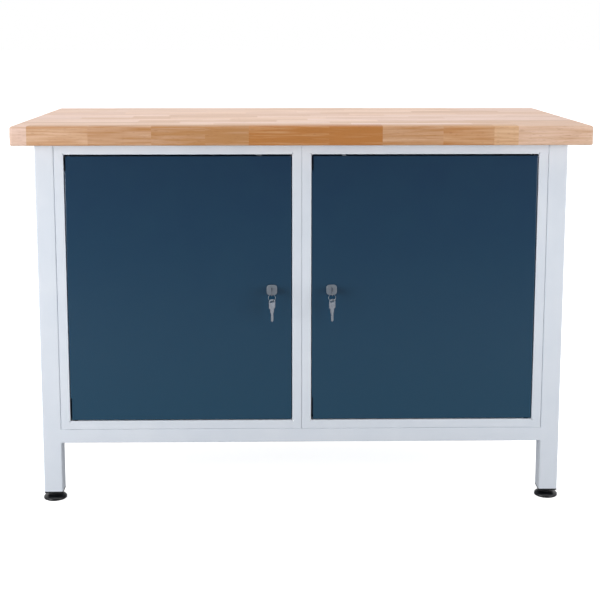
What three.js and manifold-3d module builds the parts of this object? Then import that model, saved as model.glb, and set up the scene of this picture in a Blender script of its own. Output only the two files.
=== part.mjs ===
// Workbench: a beech worktop on a square-tube frame, with two sheet-steel cabinets
// side by side between the legs. Millimetres, +Z up, the doors face -Y.
// The origin is on the floor, under the middle of the worktop.
import * as THREE from 'three';
import { mergeVertices } from 'three/addons/utils/BufferGeometryUtils.js';
import Module from 'manifold-3d';

const wasm = await Module();
wasm.setup();

// Clearances
const fitGap = 0.3; // between fixed pieces that meet
const runGap = 0.1; // round a pin or plug that turns
const slipGap = 0.5; // round a piece that slides past another

// Worktop
const topWidth = 1200;
const topDepth = 600;
const topThickness = 40;
const topUnderside = 780;
const topEdgeRadius = 3;
const topCornerRadius = 6;
const overhangFront = 50;
const overhangRear = 30;
const overhangSide = 40;

// Frame tubes
const legSize = 40;
const legWall = 2;
const legCornerRadius = 3;
const legEnd = 20; // height of the leg ends above the floor
const railSize = 30;
const railWall = 1.5;
const railCornerRadius = 2;
const lowRailBottom = 130; // underside of the low rails above the floor
const lowRearRailDepth = 40;
const topRearRailDepth = 20;

// Levelling feet and the plugs that hold them
const footRadius = 25;
const footEdge = 3;
const footDome = 7;
const footNeckRadius = 8;
const footNeck = 1;
const studRadius = 5;
const studLength = 70;
const insertFlange = 3;
const insertDepth = 25;

// Cabinet shells
const sheet = 1;
const foldRadius = 1.2;
const bayGap = 0.5; // cabinet to leg
const middleGap = 0.5; // cabinet to cabinet
const stileWidth = 20;
const sillHeight = 19;
const headHeight = 22.7;
const hingeLip = 14;
const strikeLip = 20;
const rearFlange = 15;
const baseLip = 25;
const stopDrop = 8;
const stopWidth = 10;
const stopInset = 68; // stop's middle from the door's free edge
const reliefLength = 5;
const reliefWidth = 1.2;

// Shelves
const shelfHeight = 285; // shelf surface above the cabinet's underside
const shelfSetback = 55;
const shelfFold = 25;
const shelfReturn = 10;
const supportWidth = 15;
const supportDrop = 20;

// Doors
const doorDepth = 20;
const doorBend = 2;
const doorSideGap = 1.4;
const doorTopGap = 3.5;
const doorBottomGap = 1.7;
const doorReturn = 12;
const notchWidth = 3;
const notchTop = 30;
const notchBottom = 49;
const stiffenerWidth = 100;
const stiffenerRib = 62;
const stiffenerDepth = 15;
const stiffenerInset = 25;
const pivotInset = 10;
const pivotSetback = 6;
const pinRadius = 3;
const pinReach = 8;
const pinHead = 2;
const pinHeadRadius = 5;
const pinCollarRadius = 5.5;

// Cam locks
const lockInset = 42; // lock axis from the door's free edge
const rosetteSize = 22;
const rosetteThickness = 3.2;
const rosetteRadius = 7;
const rosetteBevel = 0.8;
const barrelRadius = 9;
const barrelFlat = 16;
const barrelLength = 18;
const plugRadius = 6.25;
const plugProud = 0.5;
const tailSize = 7;
const tailLength = 4.5; // beyond the plug's shoulder
const nutAcross = 24;
const nutThickness = 5;
const camWidth = 15;
const camThickness = 2;
const camOverlap = 7; // reach past the strike lip

// Keys and rings
const keyThickness = 1.6;
const keyBowLength = 21;
const keyBowRadius = 4.5;
const keySlotLength = 11;
const keySlotWidth = 3.6;
const keyRail = 2.4; // beside the slot
const keyEndWeb = 3.2; // beyond the slot
const keyNeckLength = 8;
const keyNeckWidth = 9;
const keyBladeLength = 20;
const keyBladeWidth = 6;
const keyCutPitch = 3;
const keyCutDepths = [0.8, 1.5, 0.5, 1.2, 0.9]; // from the shoulder to the tip
const keyPlay = 0.15;
const ringRadius = 7.5;
const ringWire = 0.9;
const ringSeat = 0.5; // above the rail of the key that carries it
const spareDrop = 0.3; // slot middle below the ring's wire
const spareTurn = -55; // degrees about the vertical

// Places that follow from the sizes above
const frameWidth = topWidth - 2 * overhangSide;
const frameFront = -topDepth / 2 + overhangFront;
const frameRear = topDepth / 2 - overhangRear;
const legTop = topUnderside - fitGap;
const legX = (frameWidth - legSize) / 2;
const legFrontY = frameFront + legSize / 2;
const legRearY = frameRear - legSize / 2;
const legInner = legSize - 2 * legWall;
const bayWidth = frameWidth - 2 * legSize;
const sideRailX = (bayWidth + railSize) / 2;
const lowRailTop = lowRailBottom + railSize;
const topRailBottom = legTop - railSize;
const cabinetWidth = (bayWidth - 2 * bayGap - middleGap) / 2;
const cabinetBottom = lowRailTop + fitGap;
const cabinetHeight = topUnderside - fitGap - cabinetBottom;
const cabinetDepth = frameRear - topRearRailDepth - slipGap - frameFront;
const half = cabinetWidth / 2;
const innerHalf = half - sheet - fitGap;
const openingHalf = half - stileWidth;
const headBottom = cabinetHeight - headHeight;
const backFront = cabinetDepth - 2 * sheet - fitGap;
const doorWidth = 2 * (openingHalf - doorSideGap);
const doorBottom = sillHeight + doorBottomGap;
const doorHeight = headBottom - doorTopGap - doorBottom;
const pivotX = doorWidth / 2 - pivotInset;
const pinHole = pinRadius + runGap;
const stopY = doorDepth + fitGap;
const lockX = doorWidth / 2 - lockInset;
const plugFront = -(fitGap + rosetteThickness + plugProud);
const camFront = strikeLip + slipGap;
const plugShoulder = camFront - fitGap;
const camReach = lockInset + doorSideGap + sheet + camOverlap;
const keySlotHalf = keySlotWidth / 2;
const keyBowEnd = -(keySlotHalf + keyEndWeb);
const keyNeckStart = keyBowEnd + keyBowLength;
const keyShoulder = keyNeckStart + keyNeckLength;
const keySlotY = plugFront - fitGap - keyShoulder;
const keyBowWidth = keySlotLength + 2 * keyRail;
const ringTop = -keySlotLength / 2 + ringSeat + ringWire;
const ringMiddle = ringTop - ringRadius;
const ringFoot = ringTop - 2 * ringRadius;

// Materials
const paint = (color, roughness, metalness) =>
  new THREE.MeshStandardMaterial({ color, roughness, metalness });
const beech = paint(0xd9b795, 0.55, 0);
const greyCoat = paint(0xd3dce6, 0.45, 0.1);
const blueCoat = paint(0x29415a, 0.4, 0.1);
const blackPlastic = paint(0x101216, 0.35, 0);
const steel = paint(0xa9acb0, 0.35, 0.9);
const nickel = paint(0xb9bcc0, 0.25, 1);

// An outline from points [a, b, radius], each corner eased by its radius.
function outline(points, Kind = THREE.Shape) {
  const path = new Kind();
  points.forEach(([a, b, radius = 0], i) => {
    const corner = new THREE.Vector2(a, b);
    const before = points[(i + points.length - 1) % points.length];
    const after = points[(i + 1) % points.length];
    const enter = new THREE.Vector2(before[0], before[1]).sub(corner).setLength(radius).add(corner);
    const leave = new THREE.Vector2(after[0], after[1]).sub(corner).setLength(radius).add(corner);
    if (i === 0) {
      path.moveTo(enter.x, enter.y);
    } else {
      path.lineTo(enter.x, enter.y);
    }
    if (radius > 0) {
      path.quadraticCurveTo(a, b, leave.x, leave.y);
    }
  });
  path.closePath();
  return path;
}

function rounded(width, height, radius, Kind = THREE.Shape) {
  const w = width / 2;
  const h = height / 2;
  return outline([[-w, -h, radius], [w, -h, radius], [w, h, radius], [-w, h, radius]], Kind);
}

// Extrusions of a shape along Z, along X (shape in y, z) and along Y (shape in x, z).
function extrudeZ(shape, from, to, bevel = 0) {
  return new THREE.ExtrudeGeometry(shape, {
    depth: to - from - 2 * bevel,
    curveSegments: 4,
    bevelEnabled: bevel > 0,
    bevelThickness: bevel,
    bevelSize: bevel,
    bevelOffset: -bevel,
    bevelSegments: 3,
  }).translate(0, 0, from + bevel);
}

const unitX = new THREE.Vector3(1, 0, 0);
const unitY = new THREE.Vector3(0, 1, 0);
const unitZ = new THREE.Vector3(0, 0, 1);
const ontoX = new THREE.Matrix4().makeBasis(unitY, unitZ, unitX);
const ontoY = new THREE.Matrix4().makeBasis(unitX, unitZ, unitY.clone().negate());

function extrudeX(shape, from, to, bevel = 0) {
  return extrudeZ(shape, from, to, bevel).applyMatrix4(ontoX);
}

function extrudeY(shape, from, to, bevel = 0) {
  return extrudeZ(shape, -to, -from, bevel).applyMatrix4(ontoY);
}

function block(x0, x1, y0, y1, z0, z1) {
  const size = [Math.abs(x1 - x0), Math.abs(y1 - y0), Math.abs(z1 - z0)];
  return new THREE.BoxGeometry(...size).translate((x0 + x1) / 2, (y0 + y1) / 2, (z0 + z1) / 2);
}

function rodY(radius, from, to, sides = 24) {
  return new THREE.CylinderGeometry(radius, radius, to - from, sides)
    .translate(0, (from + to) / 2, 0);
}

function rodZ(radius, from, to, sides = 24) {
  return rodY(radius, from, to, sides).rotateX(Math.PI / 2);
}

// Solids for adding, cutting and intersecting.
function solid(geometry) {
  const bare = geometry.clone();
  bare.deleteAttribute('normal');
  bare.deleteAttribute('uv');
  const merged = mergeVertices(bare, 1e-4);
  const corners = merged.index.array;
  const triangles = [];
  for (let i = 0; i < corners.length; i += 3) {
    const [a, b, c] = corners.slice(i, i + 3);
    if (a !== b && b !== c && c !== a) {
      triangles.push(a, b, c);
    }
  }
  return new wasm.Manifold(new wasm.Mesh({
    numProp: 3,
    vertProperties: new Float32Array(merged.attributes.position.array),
    triVerts: new Uint32Array(triangles),
  }));
}

function geometryOf(shape) {
  const mesh = shape.getMesh();
  const geometry = new THREE.BufferGeometry();
  geometry.setAttribute('position', new THREE.BufferAttribute(mesh.vertProperties, 3));
  geometry.setIndex(new THREE.BufferAttribute(mesh.triVerts, 1));
  geometry.computeVertexNormals();
  return geometry;
}

function join(...geometries) {
  return geometryOf(wasm.Manifold.union(geometries.map(solid)));
}

function cut(geometry, ...tools) {
  return geometryOf(solid(geometry).subtract(wasm.Manifold.union(tools.map(solid))));
}

function common(a, b) {
  return geometryOf(solid(a).intersect(solid(b)));
}

function add(group, name, geometry, material, place = [0, 0, 0]) {
  const mesh = new THREE.Mesh(geometry, material);
  mesh.name = name;
  mesh.position.set(...place);
  group.add(mesh);
  return mesh;
}

function tubeShape(width, height, wall, radius) {
  const shape = rounded(width, height, radius);
  shape.holes.push(rounded(width - 2 * wall, height - 2 * wall, radius - wall, THREE.Path));
  return shape;
}

function makeWorktop() {
  const slab = rounded(topWidth, topDepth, topCornerRadius);
  return extrudeZ(slab, topUnderside, topUnderside + topThickness, topEdgeRadius);
}

function makeInsert() {
  const flange = extrudeZ(rounded(legSize, legSize, legCornerRadius), 0, insertFlange);
  const side = legInner - 2 * fitGap;
  const body = extrudeZ(rounded(side, side, legCornerRadius - legWall), sheet, insertFlange + insertDepth);
  const bore = rodZ(studRadius + runGap, -sheet, insertFlange + insertDepth + sheet);
  return cut(join(flange, body), bore);
}

function makeFoot() {
  const neckTop = footEdge + footDome + footNeck;
  const points = [
    [0, 0],
    [footRadius - 1, 0],
    [footRadius, 1],
    [footRadius, footEdge],
    [footRadius * 0.92, footEdge + footDome * 0.35],
    [footRadius * 0.72, footEdge + footDome * 0.7],
    [footRadius * 0.5, footEdge + footDome * 0.92],
    [footNeckRadius, footEdge + footDome],
    [footNeckRadius, neckTop],
    [0, neckTop],
  ].map(([r, z]) => new THREE.Vector2(r, z));
  const base = new THREE.LatheGeometry(points, 32).rotateX(Math.PI / 2);
  return join(base, rodZ(studRadius, footEdge, studLength));
}

function makeFrame() {
  const frame = new THREE.Group();
  const ends = { left: -1, right: 1 };
  const rows = { front: legFrontY, rear: legRearY };
  const leg = extrudeZ(tubeShape(legSize, legSize, legWall, legCornerRadius), 0, legTop - legEnd);
  const insert = makeInsert();
  const foot = makeFoot();
  for (const [row, y] of Object.entries(rows)) {
    for (const [end, sign] of Object.entries(ends)) {
      const x = sign * legX;
      add(frame, `leg_${row}_${end}`, leg, greyCoat, [x, y, legEnd]);
      add(frame, `insert_${row}_${end}`, insert, blackPlastic, [x, y, legEnd - fitGap - insertFlange]);
      add(frame, `foot_${row}_${end}`, foot, blackPlastic, [x, y, 0]);
    }
  }
  const square = tubeShape(railSize, railSize, railWall, railCornerRadius);
  const deep = tubeShape(lowRearRailDepth, railSize, railWall, railCornerRadius);
  const flat = tubeShape(topRearRailDepth, railSize, railWall, railCornerRadius);
  const reachX = bayWidth / 2 - fitGap;
  const lowZ = lowRailBottom + railSize / 2;
  const highZ = topRailBottom + railSize / 2;
  const across = (shape) => extrudeX(shape, -reachX, reachX);
  add(frame, 'rail_bottom_front', across(square), greyCoat, [0, frameFront + railSize / 2, lowZ]);
  add(frame, 'rail_bottom_rear', across(deep), greyCoat, [0, frameRear - lowRearRailDepth / 2, lowZ]);
  add(frame, 'rail_top_rear', across(flat), greyCoat, [0, frameRear - topRearRailDepth / 2, highZ]);
  const along = extrudeY(square, frameFront + legSize + fitGap, frameRear - legSize - fitGap);
  for (const [end, sign] of Object.entries(ends)) {
    add(frame, `rail_bottom_${end}`, along, greyCoat, [sign * sideRailX, 0, lowZ]);
    add(frame, `rail_top_${end}`, along, greyCoat, [sign * sideRailX, 0, highZ]);
  }
  return frame;
}

// The cabinet's own frame has y = 0 on its face and z = 0 at its underside. The
// hinge side lies towards hand * x.
function reliefs() {
  const slots = [];
  for (const sx of [-1, 1]) {
    for (const [z, sz] of [[sillHeight, -1], [headBottom, 1]]) {
      const slot = block(0, reliefLength, -sheet, 2 * sheet, -reliefWidth / 2, reliefWidth / 2);
      slot.rotateY(-sz * Math.PI / 4);
      slot.scale(sx, 1, 1);
      if (sx < 0) {
        slot.index.array.reverse();
      }
      slots.push(slot.translate(sx * (openingHalf - sheet), 0, z - sz * sheet));
    }
  }
  return slots;
}

function makeSidePanel(sign, lip) {
  const profile = [
    [half, 0, foldRadius],
    [half, cabinetDepth, foldRadius],
    [half - rearFlange, cabinetDepth],
    [half - rearFlange, cabinetDepth - sheet],
    [half - sheet, cabinetDepth - sheet],
    [half - sheet, sheet],
    [openingHalf + sheet, sheet],
    [openingHalf + sheet, lip],
    [openingHalf, lip],
    [openingHalf, 0, foldRadius],
  ].map(([x, y, r]) => [sign * x, y, r]);
  return cut(extrudeZ(outline(profile), 0, cabinetHeight), ...reliefs());
}

function makeTopPanel(hand) {
  const profile = outline([
    [0, cabinetHeight, foldRadius],
    [0, headBottom, foldRadius],
    [stopY, headBottom],
    [stopY, headBottom - stopDrop],
    [stopY + sheet, headBottom - stopDrop],
    [stopY + sheet, headBottom + sheet],
    [sheet, headBottom + sheet],
    [sheet, cabinetHeight - sheet],
    [backFront - fitGap, cabinetHeight - sheet],
    [backFront - fitGap, cabinetHeight],
  ]);
  const reach = openingHalf - fitGap;
  const behind = strikeLip + slipGap;
  const wide = block(
    -innerHalf, innerHalf, behind, backFront - fitGap, cabinetHeight - sheet, cabinetHeight);
  const stopX = -hand * (doorWidth / 2 - stopInset);
  const besideStop = [[-half, stopX - stopWidth / 2], [stopX + stopWidth / 2, half]].map(
    ([from, to]) => block(
      from, to, stopY - sheet, stopY + 2 * sheet, headBottom - stopDrop - sheet, headBottom));
  const hole = rodZ(pinHole, headBottom - sheet, headBottom + 2 * sheet)
    .translate(hand * pivotX, pivotSetback, 0);
  return cut(join(extrudeX(profile, -reach, reach), wide), ...besideStop, hole, ...reliefs());
}

function makeBottomPanel(hand) {
  const rear = backFront - fitGap;
  const profile = outline([
    [0, sillHeight, foldRadius],
    [0, 0, foldRadius],
    [baseLip, 0],
    [baseLip, sheet],
    [sheet, sheet],
    [sheet, sillHeight - sheet],
    [rear - sheet, sillHeight - sheet],
    [rear - sheet, sheet],
    [rear - baseLip, sheet],
    [rear - baseLip, 0],
    [rear, 0],
    [rear, sillHeight],
  ]);
  const reach = openingHalf - fitGap;
  const behind = strikeLip + slipGap;
  const wide = block(-innerHalf, innerHalf, behind, rear, sillHeight - sheet, sillHeight);
  const hole = rodZ(pinHole, sillHeight - 2 * sheet, sillHeight + sheet)
    .translate(hand * pivotX, pivotSetback, 0);
  return cut(join(extrudeX(profile, -reach, reach), wide), hole, ...reliefs());
}

function makeShelf() {
  const front = shelfSetback;
  const rear = backFront - fitGap;
  const low = shelfHeight - shelfFold;
  const profile = outline([
    [front, shelfHeight, foldRadius],
    [front, low, foldRadius],
    [front + shelfReturn, low],
    [front + shelfReturn, low + sheet],
    [front + sheet, low + sheet],
    [front + sheet, shelfHeight - sheet],
    [rear - sheet, shelfHeight - sheet],
    [rear - sheet, low + sheet],
    [rear - shelfReturn, low + sheet],
    [rear - shelfReturn, low],
    [rear, low],
    [rear, shelfHeight],
  ]);
  return extrudeX(profile, -innerHalf, innerHalf);
}

function makeShelfSupport(sign) {
  const top = shelfHeight - sheet - fitGap;
  const profile = [
    [innerHalf, top],
    [innerHalf, top - supportDrop],
    [innerHalf - sheet, top - supportDrop],
    [innerHalf - sheet, top - sheet],
    [innerHalf - supportWidth, top - sheet],
    [innerHalf - supportWidth, top],
  ].map(([x, z]) => [sign * x, z]);
  const start = shelfSetback + shelfReturn + fitGap;
  return extrudeY(outline(profile), start, backFront - fitGap - shelfReturn - fitGap);
}

// The door's own frame has x = 0 at its middle, y = 0 on its face and z = 0 at its foot.
function makeDoorPanel(hand) {
  const face = rounded(doorWidth, doorHeight, 1.5 * doorBend);
  const slab = extrudeY(face, 0, doorDepth + doorBend, doorBend).translate(0, 0, doorHeight / 2);
  const w = doorWidth / 2;
  const trim = block(-doorWidth, doorWidth, doorDepth, 2 * doorDepth, -doorHeight, 2 * doorHeight);
  const cavity = block(
    -w + sheet, w - sheet, sheet, doorDepth - sheet, sheet, doorHeight - sheet);
  const mouth = block(
    -w + doorReturn, w - doorReturn, doorDepth / 2, 2 * doorDepth,
    doorReturn, doorHeight - doorReturn);
  const notchReach = doorDepth - 2 * sheet;
  const notches = [
    block(-doorWidth, -w + notchWidth, -sheet, notchReach, doorHeight - notchTop, 2 * doorHeight),
    block(-doorWidth, -w + notchWidth, -sheet, notchReach, -doorHeight, notchBottom),
  ];
  const hinge = rodZ(pinHole, -sheet, doorHeight + sheet).translate(hand * pivotX, pivotSetback, 0);
  const lock = flattedRod(barrelRadius + fitGap, barrelFlat + 2 * fitGap, -sheet, 2 * sheet)
    .translate(-hand * lockX, 0, doorHeight / 2);
  return cut(slab, trim, cavity, mouth, ...notches, hinge, lock);
}

function makeStiffener() {
  const near = sheet + fitGap;
  const far = near + stiffenerDepth;
  const side = stiffenerWidth / 2;
  const rib = stiffenerRib / 2;
  const profile = outline([
    [-side, near],
    [-side, near + sheet],
    [-rib, near + sheet],
    [-rib, far],
    [rib, far],
    [rib, near + sheet],
    [side, near + sheet],
    [side, near],
    [rib - sheet, near],
    [rib - sheet, far - sheet],
    [-rib + sheet, far - sheet],
    [-rib + sheet, near],
  ]);
  return extrudeZ(profile, stiffenerInset, doorHeight - stiffenerInset);
}

function makeUpperPin() {
  const seat = headBottom + sheet + fitGap;
  const foot = doorBottom + doorHeight - pinReach;
  return join(rodZ(pinRadius, foot, seat + pinHead / 2), rodZ(pinHeadRadius, seat, seat + pinHead));
}

function makeLowerPin() {
  const shaft = rodZ(pinRadius, sillHeight - sheet - pinReach, doorBottom + pinReach);
  const collar = rodZ(pinCollarRadius, sillHeight + fitGap, doorBottom - fitGap);
  return join(shaft, collar);
}

// The lock's own frame has its axis along y, with y = 0 on the door's face.
function flattedRod(radius, flat, from, to) {
  const slab = block(-flat / 2, flat / 2, from, to, -radius, radius);
  return common(rodY(radius, from, to, 32), slab);
}

function makeLockBody() {
  const rosette = extrudeY(
    rounded(rosetteSize, rosetteSize, rosetteRadius), -fitGap - rosetteThickness, -fitGap,
    rosetteBevel);
  const barrel = flattedRod(barrelRadius, barrelFlat, -rosetteThickness / 2, barrelLength);
  const bore = rodY(plugRadius + runGap, -2 * rosetteThickness, barrelLength + rosetteThickness, 32);
  return cut(join(rosette, barrel), bore);
}

function makeLockPlug() {
  const tail = tailSize / 2;
  const plug = join(
    rodY(plugRadius, plugFront, plugShoulder, 32),
    block(-tail, tail, plugShoulder - tail, plugShoulder + tailLength, -tail, tail));
  const wide = keyThickness / 2 + keyPlay;
  const tall = keyBladeWidth / 2 + keyPlay;
  const keyway = block(-wide, wide, plugFront - 1, plugFront + keyBladeLength, -tall, tall);
  return cut(plug, keyway);
}

function makeLockNut() {
  const from = sheet + fitGap;
  const hex = rodY(nutAcross / Math.sqrt(3), from, from + nutThickness, 6);
  return cut(hex, rodY(barrelRadius + fitGap, 0, from + 2 * nutThickness, 32));
}

function makeLockCam() {
  const w = camWidth / 2;
  const plate = outline([
    [-w, w, w * 0.8], [-w, -camReach, w * 0.4], [w, -camReach, w * 0.4], [w, w, w * 0.8],
  ]);
  const tail = tailSize / 2 + runGap;
  plate.holes.push(outline([[-tail, -tail], [tail, -tail], [tail, tail], [-tail, tail]], THREE.Path));
  return extrudeY(plate, camFront, camFront + camThickness);
}

// A key's own frame has its middle at the slot in the bow, with the blade along +y.
function makeKey() {
  const bow = keyBowWidth / 2;
  const neck = keyNeckWidth / 2;
  const blade = keyBladeWidth / 2;
  const tip = keyShoulder + keyBladeLength;
  const cuts = keyCutDepths.flatMap((depth, i) => {
    const y = keyShoulder + (i + 1) * keyCutPitch;
    return [[y - keyCutPitch / 2, -blade], [y, depth - blade]];
  });
  const shape = outline([
    [keyBowEnd, -bow, keyBowRadius],
    [keyNeckStart, -bow, keyBowRadius],
    [keyNeckStart, -neck],
    [keyShoulder, -neck],
    [keyShoulder, -blade],
    ...cuts,
    [tip - blade, -blade],
    [tip, 0],
    [tip - blade, blade],
    [keyShoulder, blade],
    [keyShoulder, neck],
    [keyNeckStart, neck],
    [keyNeckStart, bow, keyBowRadius],
    [keyBowEnd, bow, keyBowRadius],
  ]);
  const slot = keySlotLength / 2;
  const ease = keySlotHalf * 0.6;
  shape.holes.push(outline([
    [-keySlotHalf, -slot, ease], [keySlotHalf, -slot, ease],
    [keySlotHalf, slot, ease], [-keySlotHalf, slot, ease],
  ], THREE.Path));
  return extrudeX(shape, -keyThickness / 2, keyThickness / 2);
}

function makeLock(side) {
  const lock = new THREE.Group();
  add(lock, `${side}_lock_body`, makeLockBody(), nickel);
  add(lock, `${side}_lock_plug`, makeLockPlug(), nickel);
  add(lock, `${side}_lock_nut`, makeLockNut(), steel);
  add(lock, `${side}_lock_cam`, makeLockCam(), steel);
  const key = makeKey();
  add(lock, `${side}_key`, key, nickel, [0, keySlotY, 0]);
  const ring = new THREE.TorusGeometry(ringRadius, ringWire, 8, 36).rotateX(Math.PI / 2);
  add(lock, `${side}_key_ring`, ring, steel, [0, keySlotY, ringMiddle]);
  const spare = add(lock, `${side}_spare_key`, key, nickel, [0, keySlotY, ringFoot - spareDrop]);
  spare.rotation.set(-Math.PI / 2, 0, THREE.MathUtils.degToRad(spareTurn), 'ZYX');
  return lock;
}

function makeCabinet(side, hand) {
  const cabinet = new THREE.Group();
  cabinet.position.set(hand * (middleGap + cabinetWidth) / 2, frameFront, cabinetBottom);
  add(cabinet, `${side}_side_panel_outer`, makeSidePanel(hand, hingeLip), greyCoat);
  add(cabinet, `${side}_side_panel_inner`, makeSidePanel(-hand, strikeLip), greyCoat);
  add(cabinet, `${side}_top_panel`, makeTopPanel(hand), greyCoat);
  add(cabinet, `${side}_bottom_panel`, makeBottomPanel(hand), greyCoat);
  const back = block(
    -innerHalf, innerHalf, backFront, backFront + sheet, fitGap, cabinetHeight - fitGap);
  add(cabinet, `${side}_back_panel`, back, greyCoat);
  add(cabinet, `${side}_shelf`, makeShelf(), greyCoat);
  add(cabinet, `${side}_shelf_support_outer`, makeShelfSupport(hand), greyCoat);
  add(cabinet, `${side}_shelf_support_inner`, makeShelfSupport(-hand), greyCoat);
  const pinPlace = [hand * pivotX, pivotSetback, 0];
  add(cabinet, `${side}_hinge_pin_upper`, makeUpperPin(), steel, pinPlace);
  add(cabinet, `${side}_hinge_pin_lower`, makeLowerPin(), steel, pinPlace);

  const door = new THREE.Group();
  door.position.set(0, 0, doorBottom);
  add(door, `${side}_door_panel`, makeDoorPanel(hand), blueCoat);
  add(door, `${side}_door_stiffener`, makeStiffener(), blueCoat);
  const lock = makeLock(side);
  lock.position.set(-hand * lockX, 0, doorHeight / 2);
  door.add(lock);
  cabinet.add(door);
  return cabinet;
}

const bench = new THREE.Group();
bench.name = 'workbench';
add(bench, 'worktop', makeWorktop(), beech);
bench.add(makeFrame(), makeCabinet('left', -1), makeCabinet('right', 1));

export default bench;
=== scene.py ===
"""Dresses a workbench: a beech worktop, a powder-coated tube frame and two locked cabinets.

Every length is in metres in the part's own frame: +X right, +Y to the back, +Z up.
The patterns of the finishes are in millimetres, as their comments say.
"""

import logging
import math
import random
from dataclasses import dataclass, field
from enum import Enum
from functools import partial
from typing import Any, Iterable, Sequence

import bmesh
import bpy
from bmesh.types import BMEdge, BMesh, BMFace
from bpy.types import Material, Mesh, Node, NodeSocket, NodeTree, Object
from mathutils import Euler, Matrix, Vector


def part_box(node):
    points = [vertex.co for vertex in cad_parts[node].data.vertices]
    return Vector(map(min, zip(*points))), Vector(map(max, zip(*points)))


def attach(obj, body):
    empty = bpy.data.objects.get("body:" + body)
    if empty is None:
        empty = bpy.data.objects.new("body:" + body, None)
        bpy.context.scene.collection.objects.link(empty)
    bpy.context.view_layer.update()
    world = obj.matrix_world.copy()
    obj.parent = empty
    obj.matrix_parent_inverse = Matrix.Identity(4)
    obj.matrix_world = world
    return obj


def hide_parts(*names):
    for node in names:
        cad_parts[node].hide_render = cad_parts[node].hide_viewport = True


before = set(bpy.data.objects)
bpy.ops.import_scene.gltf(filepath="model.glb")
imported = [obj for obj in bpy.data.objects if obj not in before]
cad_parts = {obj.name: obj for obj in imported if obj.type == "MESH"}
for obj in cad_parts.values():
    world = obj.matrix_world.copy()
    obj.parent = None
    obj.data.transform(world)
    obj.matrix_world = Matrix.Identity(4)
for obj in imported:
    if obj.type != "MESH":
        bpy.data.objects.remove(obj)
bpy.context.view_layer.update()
LOG = logging.getLogger("workbench")
MM = 0.001
SHEET = 1 * MM  # the steel of the cabinets and doors
NOISE_BAND = (0.3, 0.7)  # where most values of a noise lie
PHOTO_PIXELS = 600
SENSOR_WIDTH = 36.0
BENCH = "bench"
ROWS = ("front", "rear")
CROSS_RAILS = ("rail_bottom_front", "rail_bottom_rear", "rail_top_rear")

Point = Sequence[float]
Place = tuple[Point, Point]  # where a fixing sits and the way its head faces
Seam = tuple[Point, Point]  # the two ends of a weld


class Slot(Enum):
    """The record's material slots."""

    WORKTOP = "worktop"
    FRAME_COAT = "frame_coat"
    DOOR_COAT = "door_coat"
    PLASTIC = "plastic"
    STEEL = "steel"
    NICKEL = "nickel"


class Side(Enum):
    """A half of the bench, with its sign along X. Each door hinges on its outer side."""

    LEFT = -1
    RIGHT = 1

    @property
    def word(self) -> str:
        """The side as it stands in node and body names."""
        return self.name.lower()


class Head(Enum):
    """The kinds of fixing head that the bench has."""

    DOME = "dome"
    HEX = "hex"
    SPOT = "spot"


# Shader and mesh helpers


def linear(code: str) -> tuple[float, float, float, float]:
    """Turn an sRGB hex colour into linear light.

    Args:
        code: the colour, such as "#29415A".

    Returns:
        Red, green, blue and an alpha of 1.
    """
    channels = [int(code[i:i + 2], 16) / 255 for i in (1, 3, 5)]
    red, green, blue = (
        c / 12.92 if c <= 0.04045 else ((c + 0.055) / 1.055) ** 2.4 for c in channels)
    return red, green, blue, 1.0


def feed(node: Node, inputs: dict[Any, Any]) -> None:
    """Link or set a node's inputs.

    Args:
        node: the node.
        inputs: input name or index, with a value to set, a socket to link from, or a node
            whose first output is linked.
    """
    for key, value in inputs.items():
        source = value.outputs[0] if isinstance(value, Node) else value
        if isinstance(source, NodeSocket):
            node.id_data.links.new(source, node.inputs[key])
        else:
            node.inputs[key].default_value = source


def add_node(
    tree: NodeTree, kind: str, inputs: dict[Any, Any] | None = None, **settings: Any,
) -> Node:
    """Add one node with its settings, values and links.

    Args:
        tree: the node tree that gets the node.
        kind: Blender's name for the node type.
        inputs: what its inputs are fed with.
        settings: properties of the node.

    Returns:
        The new node.
    """
    node = tree.nodes.new(kind)
    for name, value in settings.items():
        setattr(node, name, value)
    feed(node, inputs or {})
    return node


def new_material(name: str, **sockets: Any) -> tuple[Material, Node, NodeSocket]:
    """Start a material with a Principled surface.

    Args:
        name: the material's name.
        sockets: constant values, with underscores for the spaces in the socket names.

    Returns:
        The material, its Principled node and the Object coordinates in millimetres.
    """
    material = bpy.data.materials.new(name)
    material.use_nodes = True
    tree = material.node_tree
    shader = tree.nodes["Principled BSDF"]
    feed(shader, {key.replace("_", " "): value for key, value in sockets.items()})
    place = add_node(tree, "ShaderNodeTexCoord").outputs["Object"]
    scaled = add_node(tree, "ShaderNodeVectorMath", {0: place, "Scale": 1 / MM}, operation="SCALE")
    return material, shader, scaled.outputs["Vector"]


def finish_surface(
    shader: Node, colour: NodeSocket, sheen: Node, gloss: tuple[float, float], relief: Node,
    strength: float, depth: float,
) -> None:
    """Give a surface its colour, its uneven gloss and its bumps.

    Args:
        shader: the Principled node.
        colour: the base colour.
        sheen: the pattern that steers the roughness, from 0 to 1.
        gloss: the roughness at the pattern's low and high ends.
        relief: the pattern that stands out as bumps.
        strength: how much the bumps show.
        depth: the height of the bumps in millimetres.
    """
    add = partial(add_node, shader.id_data)
    rough = add("ShaderNodeMapRange", {"Value": sheen, "To Min": gloss[0], "To Max": gloss[1]})
    bump = add("ShaderNodeBump", {"Strength": strength, "Distance": depth * MM, "Height": relief})
    feed(shader, {"Base Color": colour, "Roughness": rough, "Normal": bump})


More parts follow.
